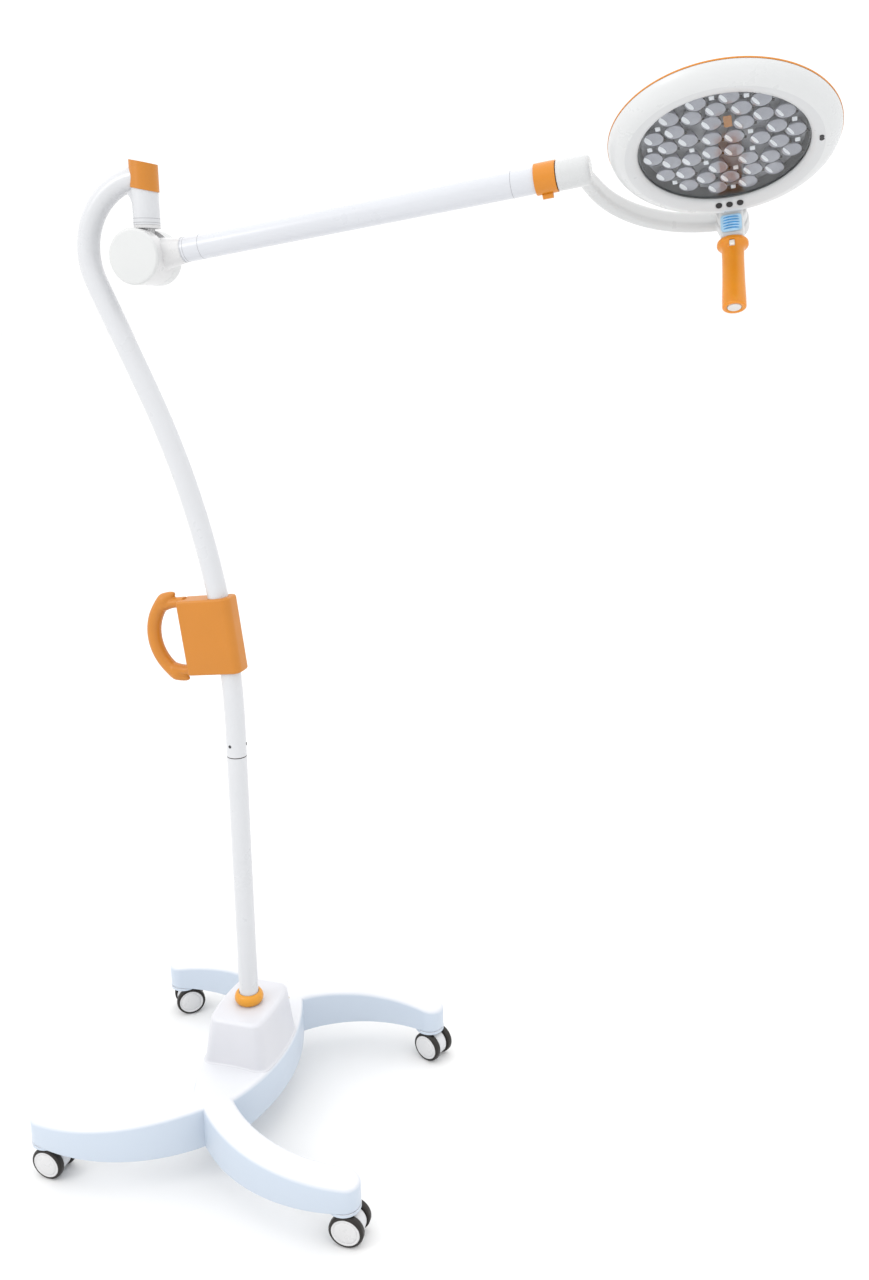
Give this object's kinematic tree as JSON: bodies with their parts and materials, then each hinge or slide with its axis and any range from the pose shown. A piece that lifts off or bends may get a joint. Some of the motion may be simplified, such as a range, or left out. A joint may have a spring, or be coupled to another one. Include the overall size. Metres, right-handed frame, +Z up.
{
  "type": "mobile surgical light",
  "caption": "Mobile surgical light on a four-leg caster base with battery box, swan-neck pole, push handle, balanced arm, yoke and round LED head with a removable sterile handle.",
  "frame": {"origin": "on the floor, on the axis of the lower pole", "axes": "+Z up; +X from the pole towards the lamp head; +Y towards the rear wall of the battery box, which has the mains inlet"},
  "size_m": [1.3139, 0.6269, 1.9071],
  "materials": {
    "base_white": "smooth moulded plastic, semi-gloss",
    "box_white": "smooth moulded plastic, semi-gloss",
    "chassis_steel": "zinc plated",
    "ballast_iron": "rough casting",
    "battery_blue": "matte",
    "supply_grey": "matte",
    "black_plastic": "fine spark texture",
    "stud_brass": "nickel plated brass",
    "collar_amber": "smooth plastic, satin",
    "pole_white": "powder coat, semi-gloss",
    "joint_dark": "matte",
    "screw_steel": "black oxide",
    "grip_orange": "satin moulded plastic",
    "bush_bronze": "sintered bronze",
    "pin_steel": "ground",
    "joint_white": "powder coat, semi-gloss",
    "cover_white": "semi-gloss",
    "arm_white": "powder coat, semi-gloss",
    "spring_steel": "oiled spring wire",
    "collar_orange": "satin",
    "bearing_dark": "filled acetal",
    "yoke_white": "painted casting, semi-gloss",
    "head_white": "smooth moulded plastic, semi-gloss",
    "pad_blue": "soft silicone",
    "window_glass": "clear polycarbonate",
    "recess_grey": "satin dark grey",
    "lens_clear": "moulded optics",
    "board_grey": "solder mask",
    "sink_aluminium": "raw casting",
    "button_dark": "soft membrane",
    "sensor_dark": "smoked infrared window",
    "core_white": "painted",
    "sleeve_orange": "slightly translucent, autoclavable",
    "catch_white": "smooth",
    "fork_white": "smooth nylon",
    "wheel_tyre": "grey hub cap and dark polyurethane tread"
  },
  "bodies": {
    "base": {"base_cover": "base_white", "base_frame": "chassis_steel", "ballast": "ballast_iron", "bottom_cover": "base_white", "caster_stems": "chassis_steel", "pedestal_cover": "box_white", "battery_pack": "battery_blue", "power_supply": "supply_grey", "mains_inlet": "black_plastic", "earth_stud": "stud_brass", "base_collar": "collar_amber", "lower_pole": "pole_white", "pole_spigot": "joint_dark", "set_screws": "screw_steel", "swan_neck": "pole_white", "clamp_bracket": "grip_orange", "push_grip": "grip_orange", "post_cap": "grip_orange", "swivel_bushes": "bush_bronze"},
    "rocker": {"power_switch": "black_plastic"},
    "carriage": {"swivel_spindle": "pin_steel", "knuckle": "joint_white"},
    "arm": {"pivot_pin": "pin_steel", "arm_root": "joint_white", "drum_covers": "cover_white", "arm_tube": "arm_white", "balance_spring": "spring_steel", "arm_collar": "collar_orange", "roll_bearing": "bearing_dark"},
    "yoke": {"yoke": "yoke_white", "tilt_pin": "pin_steel"},
    "head": {"head_neck": "head_white", "touch_pad": "pad_blue", "rear_housing": "head_white", "trim_ring": "collar_orange", "bezel": "head_white", "front_glass": "window_glass", "recess_ring": "recess_grey", "lens_array": "lens_clear", "led_board": "board_grey", "heat_sink": "sink_aluminium", "sensor_window": "sensor_dark", "handle_core": "core_white"},
    "button_power": {"button_power": "button_dark"},
    "button_brighter": {"button_brighter": "button_dark"},
    "button_dimmer": {"button_dimmer": "button_dark"},
    "sleeve": {"sterile_handle": "sleeve_orange"},
    "catch": {"handle_catch": "catch_white"},
    "caster_fl": {"caster_fl_fork": "fork_white"},
    "wheel_fl_a": {"caster_fl_wheel_a": "wheel_tyre"},
    "wheel_fl_b": {"caster_fl_wheel_b": "wheel_tyre"},
    "caster_fr": {"caster_fr_fork": "fork_white"},
    "wheel_fr_a": {"caster_fr_wheel_a": "wheel_tyre"},
    "wheel_fr_b": {"caster_fr_wheel_b": "wheel_tyre"},
    "caster_rl": {"caster_rl_fork": "fork_white"},
    "wheel_rl_a": {"caster_rl_wheel_a": "wheel_tyre"},
    "wheel_rl_b": {"caster_rl_wheel_b": "wheel_tyre"},
    "caster_rr": {"caster_rr_fork": "fork_white"},
    "wheel_rr_a": {"caster_rr_wheel_a": "wheel_tyre"},
    "wheel_rr_b": {"caster_rr_wheel_b": "wheel_tyre"}
  },
  "joints": [
    {"name": "arm_swivel", "type": "hinge", "parent": "base", "child": "carriage", "pos_m": [-0.11612, 0, 1.727], "axis": [0, 0, 1], "range_deg": [-135, 135]},
    {"name": "arm_pitch", "type": "hinge", "parent": "carriage", "child": "arm", "pos_m": [-0.12212, 0, 1.674], "axis": [0, 1, 0], "range_deg": [-15, 54]},
    {"name": "yoke_roll", "type": "hinge", "parent": "arm", "child": "yoke", "pos_m": [0.81793, 0, 1.82121], "axis": [0.988, 0, 0.1547], "range_deg": [-135, 135]},
    {"name": "head_tilt", "type": "hinge", "parent": "yoke", "child": "head", "pos_m": [0.81793, 0, 1.82121], "axis": [0.0738, 0.8788, -0.4714], "range_deg": [-100, 38]},
    {"name": "press_power", "type": "slide", "parent": "head", "child": "button_power", "axis": [-0.0688, 0.7567, 0.6502], "range_m": [0, 0.0012], "stiffness_N_per_m": 400, "springref_m": -0.0005},
    {"name": "press_brighter", "type": "slide", "parent": "head", "child": "button_brighter", "axis": [-0.0256, 0.7536, 0.6569], "range_m": [0, 0.0012], "stiffness_N_per_m": 400, "springref_m": -0.0005},
    {"name": "press_dimmer", "type": "slide", "parent": "head", "child": "button_dimmer", "axis": [-0.1123, 0.755, 0.646], "range_m": [0, 0.0012], "stiffness_N_per_m": 400, "springref_m": -0.0005},
    {"name": "handle_release", "type": "slide", "parent": "head", "child": "sleeve", "axis": [0.1014, -0.4769, -0.8731], "range_m": [0, 0.112]},
    {"name": "catch_press", "type": "slide", "parent": "sleeve", "child": "catch", "axis": [0.0738, 0.8788, -0.4714], "range_m": [0, 0.0015], "stiffness_N_per_m": 600, "springref_m": -0.0005},
    {"name": "switch_rocker", "type": "hinge", "parent": "base", "child": "rocker", "pos_m": [0.016, 0.074, 0.205], "axis": [1, 0, 0], "range_deg": [0, 16]},
    {"name": "caster_fl_swivel", "type": "hinge", "parent": "base", "child": "caster_fl", "pos_m": [-0.3, -0.27114, 0.055], "axis": [0, 0, 1], "continuous": true},
    {"name": "wheel_fl_a_roll", "type": "hinge", "parent": "caster_fl", "child": "wheel_fl_a", "pos_m": [-0.29001, -0.27167, 0.0325], "axis": [-0.0523, -0.9986, 0], "continuous": true},
    {"name": "wheel_fl_b_roll", "type": "hinge", "parent": "caster_fl", "child": "wheel_fl_b", "pos_m": [-0.29001, -0.27167, 0.0325], "axis": [-0.0523, -0.9986, 0], "continuous": true},
    {"name": "caster_fr_swivel", "type": "hinge", "parent": "base", "child": "caster_fr", "pos_m": [0.3, -0.27114, 0.055], "axis": [0, 0, 1], "continuous": true},
    {"name": "wheel_fr_a_roll", "type": "hinge", "parent": "caster_fr", "child": "wheel_fr_a", "pos_m": [0.30999, -0.27079, 0.0325], "axis": [0.0349, -0.9994, 0], "continuous": true},
    {"name": "wheel_fr_b_roll", "type": "hinge", "parent": "caster_fr", "child": "wheel_fr_b", "pos_m": [0.30999, -0.27079, 0.0325], "axis": [0.0349, -0.9994, 0], "continuous": true},
    {"name": "caster_rl_swivel", "type": "hinge", "parent": "base", "child": "caster_rl", "pos_m": [-0.3, 0.27114, 0.055], "axis": [0, 0, 1], "continuous": true},
    {"name": "wheel_rl_a_roll", "type": "hinge", "parent": "caster_rl", "child": "wheel_rl_a", "pos_m": [-0.29181, 0.27688, 0.0325], "axis": [0.5736, -0.8192, 0], "continuous": true},
    {"name": "wheel_rl_b_roll", "type": "hinge", "parent": "caster_rl", "child": "wheel_rl_b", "pos_m": [-0.29181, 0.27688, 0.0325], "axis": [0.5736, -0.8192, 0], "continuous": true},
    {"name": "caster_rr_swivel", "type": "hinge", "parent": "base", "child": "caster_rr", "pos_m": [0.3, 0.27114, 0.055], "axis": [0, 0, 1], "continuous": true},
    {"name": "wheel_rr_a_roll", "type": "hinge", "parent": "caster_rr", "child": "wheel_rr_a", "pos_m": [0.30927, 0.2674, 0.0325], "axis": [-0.3746, -0.9272, 0], "continuous": true},
    {"name": "wheel_rr_b_roll", "type": "hinge", "parent": "caster_rr", "child": "wheel_rr_b", "pos_m": [0.30927, 0.2674, 0.0325], "axis": [-0.3746, -0.9272, 0], "continuous": true}
  ]
}
